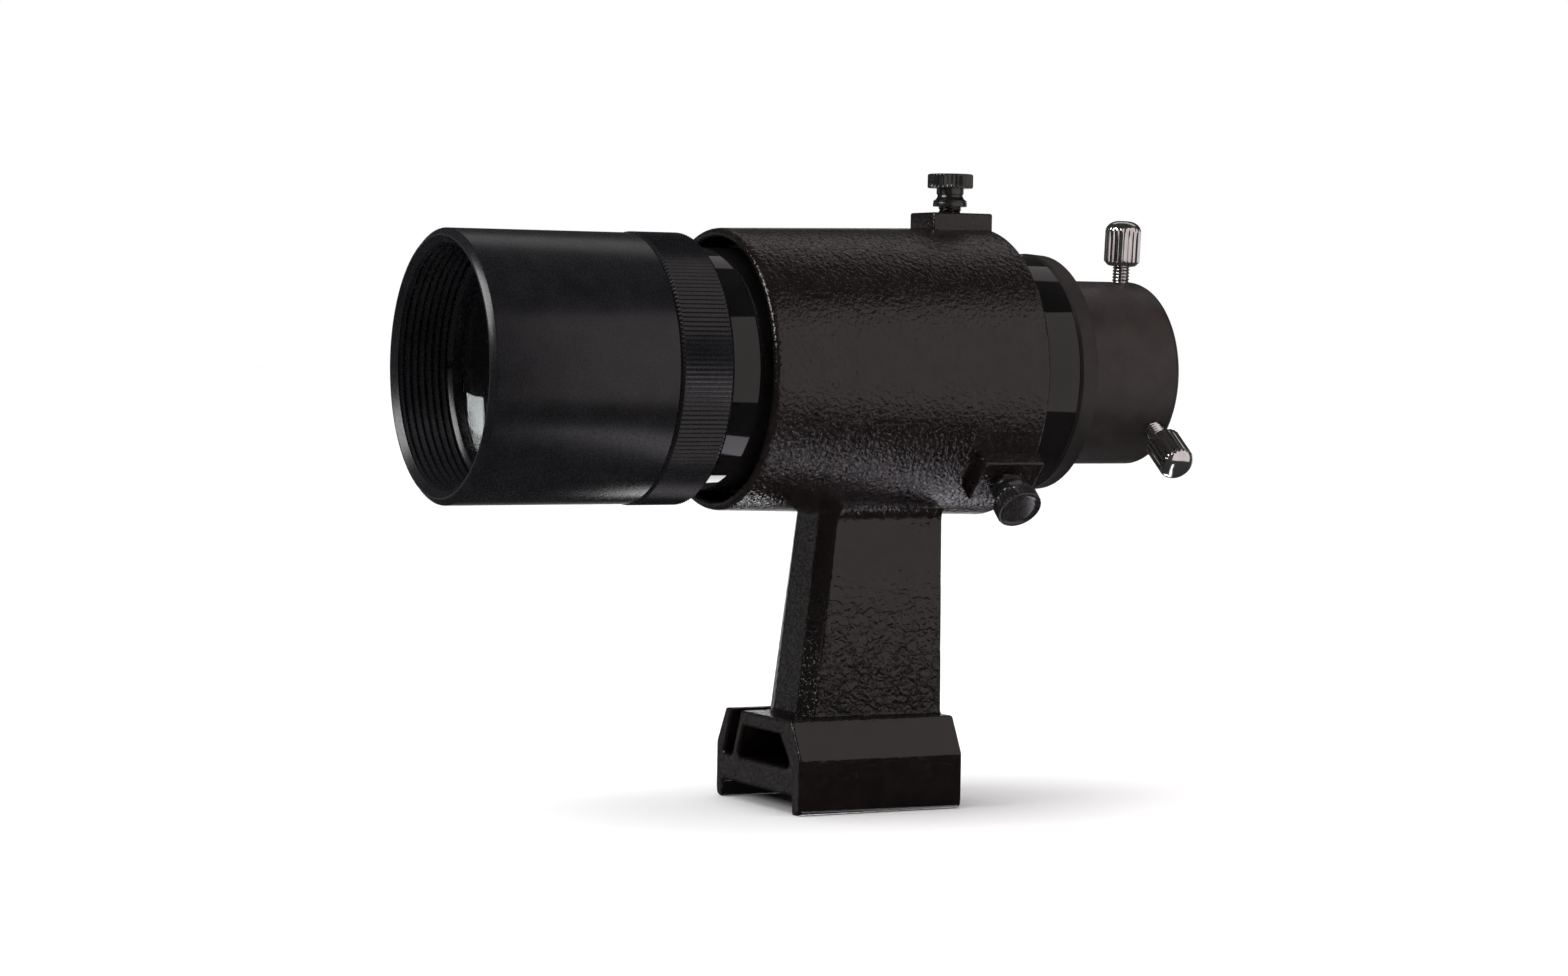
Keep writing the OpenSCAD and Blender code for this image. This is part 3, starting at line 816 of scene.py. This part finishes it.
def plunger_spring():
    """Closed tube of round wire wound along the plunger's axis, with room to slide at both ends."""
    matrix = place_radial("plunger_follows_top_screw")
    mean, wire, low, high, turns = 1.7, 0.3, 34.05, 37.95, 5
    rings, sides = turns * 32, 12
    points = []
    for i in range(rings + 1):
        turn = i * TAU * turns / rings
        for j in range(sides):
            about = j * TAU / sides
            reach = mean + wire * math.cos(about)
            height = low + (high - low) * i / rings + wire * math.sin(about)
            points.append((reach * math.cos(turn), reach * math.sin(turn), height))
    faces = [(i * sides + j, i * sides + (j + 1) % sides, (i + 1) * sides + (j + 1) % sides,
              (i + 1) * sides + j) for i in range(rings) for j in range(sides)]
    faces += [tuple(range(sides)), tuple(range(rings * sides, (rings + 1) * sides))]
    mesh = bpy.data.meshes.new("plunger_spring_wound")
    mesh.from_pydata(points, [], faces)
    mesh.transform(matrix)
    clean(mesh)
    shade(mesh, 60)
    stand_for(new_object("plunger_spring_wound", mesh), "plunger_spring", STEEL)


# ---- studio ----

def camera():
    """Stands to the right of the front, level with the tube, about 0.8 m away."""
    yaw, pitch, roll = 0.4781, -0.0449, 0.0159
    forward = Vector((-math.cos(yaw) * math.cos(pitch), math.sin(yaw) * math.cos(pitch), math.sin(pitch)))
    right = Vector((forward.y, -forward.x, 0)).normalized()
    up = right.cross(forward)
    tilt_right = right * math.cos(roll) + up * math.sin(roll)
    tilt_up = up * math.cos(roll) - right * math.sin(roll)
    data = bpy.data.cameras.new("camera")
    data.lens = 85.09
    data.sensor_width = 36
    eye = new_object("camera", data)
    eye.matrix_world = Matrix((
        (tilt_right.x, tilt_up.x, -forward.x, 0.70635),
        (tilt_right.y, tilt_up.y, -forward.y, -0.38026),
        (tilt_right.z, tilt_up.z, -forward.z, 0.10406),
        (0, 0, 0, 1)))
    bpy.context.scene.camera = eye


def softbox(name, where, aim, size, radiance, tint=(1, 1, 1)):
    """Rectangular light at a place, aimed at a point, with the radiance it shows in a reflection."""
    data = bpy.data.lights.new(name, "AREA")
    data.shape = "RECTANGLE"
    data.size, data.size_y = size
    data.energy = radiance * math.pi * size[0] * size[1]
    data.color = tint
    light = new_object(name, data)
    light.location = where
    light.rotation_euler = (Vector(aim) - Vector(where)).to_track_quat("-Z", "Y").to_euler()
    light.visible_camera = False
    return light


def studio():
    """A tall white card close on the right, a soft box high in front, a dim wall behind and above,
    a strip and a card under the floor that only reflections show, and an even light from above
    that only matt surfaces show."""
    to_side = Vector((0.888, 0.46, 0))
    across = Vector((-0.46, 0.888, 0))
    card = to_side * 0.16 + across * 0.02 + Vector((0, 0, 0.135))
    softbox("side_card", card, card - to_side, (0.27, 0.25), 0.68, (1, 0.89, 0.88))
    softbox("front_box", (-0.05, -0.95, 0.62), (0, -0.03, 0.09), (0.62, 0.5), 7.0)
    softbox("back_wall", (-0.56, 0.56, 1.05), (0, 0, 0.09), (1.2, 0.38), 0.5, (1, 0.96, 0.93))
    strip = softbox("low_strip", (0.015, 0.105, -0.15), (0.015, 0.105, 1), (0.44, 0.045), 1.8,
                    (0.96, 0.9, 1))
    strip.rotation_euler = (math.pi, 0, math.radians(-18.3))
    softbox("low_card", (-0.15, 0.095, -0.15), (-0.15, 0.095, 1), (0.13, 0.04), 5.0)
    sky = bpy.data.lights.new("sky", "SUN")
    sky.energy = 3.9
    sky.angle = math.radians(75)
    overhead = new_object("sky", sky)
    overhead.rotation_euler = (0.12, -0.1, 0)
    overhead.visible_glossy = False

    surroundings()
    floor_sheet()
    bpy.context.scene.view_settings.view_transform = "Standard"


def surroundings():
    """White to the camera. To the object it is nearly black, but for a bright stretch low behind
    and a dim one low in front, both on the far side."""
    world = bpy.data.worlds.new("studio")
    bpy.context.scene.world = world
    world.use_nodes = True
    nodes, links = world.node_tree.nodes, world.node_tree.links
    nodes.clear()

    def ramp(axis, start, end):
        """Smooth step from 0 to 1 as one component of the direction goes from start to end."""
        made = nodes.new("ShaderNodeMapRange")
        made.interpolation_type = "SMOOTHSTEP"
        links.new(direction.outputs[axis], made.inputs["Value"])
        made.inputs["From Min"].default_value = start
        made.inputs["From Max"].default_value = end
        return made.outputs[0]

    def math_node(operation, first, second):
        made = nodes.new("ShaderNodeMath")
        made.operation = operation
        for socket, value in zip(made.inputs, (first, second)):
            if isinstance(value, bpy.types.NodeSocket):
                links.new(value, socket)
            else:
                socket.default_value = value
        return made.outputs[0]

    def background():
        made = nodes.new("ShaderNodeBackground")
        made.inputs["Color"].default_value = (1, 1, 1, 1)
        return made

    direction = nodes.new("ShaderNodeSeparateXYZ")
    links.new(nodes.new("ShaderNodeTexCoord").outputs["Generated"], direction.inputs[0])
    level = math_node("MULTIPLY", ramp("Z", 0.22, 0.02), ramp("Z", -0.40, -0.12))
    rear = math_node("MULTIPLY", ramp("X", -0.10, -0.45), ramp("Y", 0.12, 0.42))
    front = math_node("MULTIPLY", ramp("X", -0.50, -0.80), ramp("Y", -0.20, -0.42))
    stretches = math_node("MAXIMUM", rear, math_node("MULTIPLY", front, 0.26))
    strength = nodes.new("ShaderNodeMapRange")
    links.new(math_node("MULTIPLY", level, stretches), strength.inputs["Value"])
    strength.inputs["To Min"].default_value = 0.035
    strength.inputs["To Max"].default_value = 0.9
    lit = background()
    links.new(strength.outputs[0], lit.inputs["Strength"])
    mix = nodes.new("ShaderNodeMixShader")
    links.new(nodes.new("ShaderNodeLightPath").outputs["Is Camera Ray"], mix.inputs[0])
    links.new(lit.outputs[0], mix.inputs[1])
    links.new(background().outputs[0], mix.inputs[2])
    links.new(mix.outputs[0], nodes.new("ShaderNodeOutputWorld").inputs["Surface"])


def floor_sheet():
    """Pale paper that the camera sees; reflections and glass look past it."""
    mesh = bpy.data.meshes.new("floor")
    reach = 6.0
    mesh.from_pydata([(-reach, -reach, 0), (reach, -reach, 0), (reach, reach, 0), (-reach, reach, 0)],
                     [], [(0, 1, 2, 3)])
    floor = new_object("floor", mesh)
    floor.visible_glossy = False
    floor.visible_transmission = False
    s = Shader("floor_paper", 0.9)
    s.colours(s.noise(6, 2), (0.90, 0.90, 0.90), (0.93, 0.93, 0.93))
    mesh.materials.append(s.material)


camera()
studio()
bracket()
main_tube()
baffle("front_baffle", 20.2)
baffle("rear_baffle", 15.6)
o_ring()
rear_ring()
eyepiece_holder()
objective_cell()
lens_retaining_ring()
lenses()
lock_ring()
for side in ("top", "side"):
    clamp_screw(side)
    adjuster(side)
plunger()
plunger_spring()

bpy.context.view_layer.update()
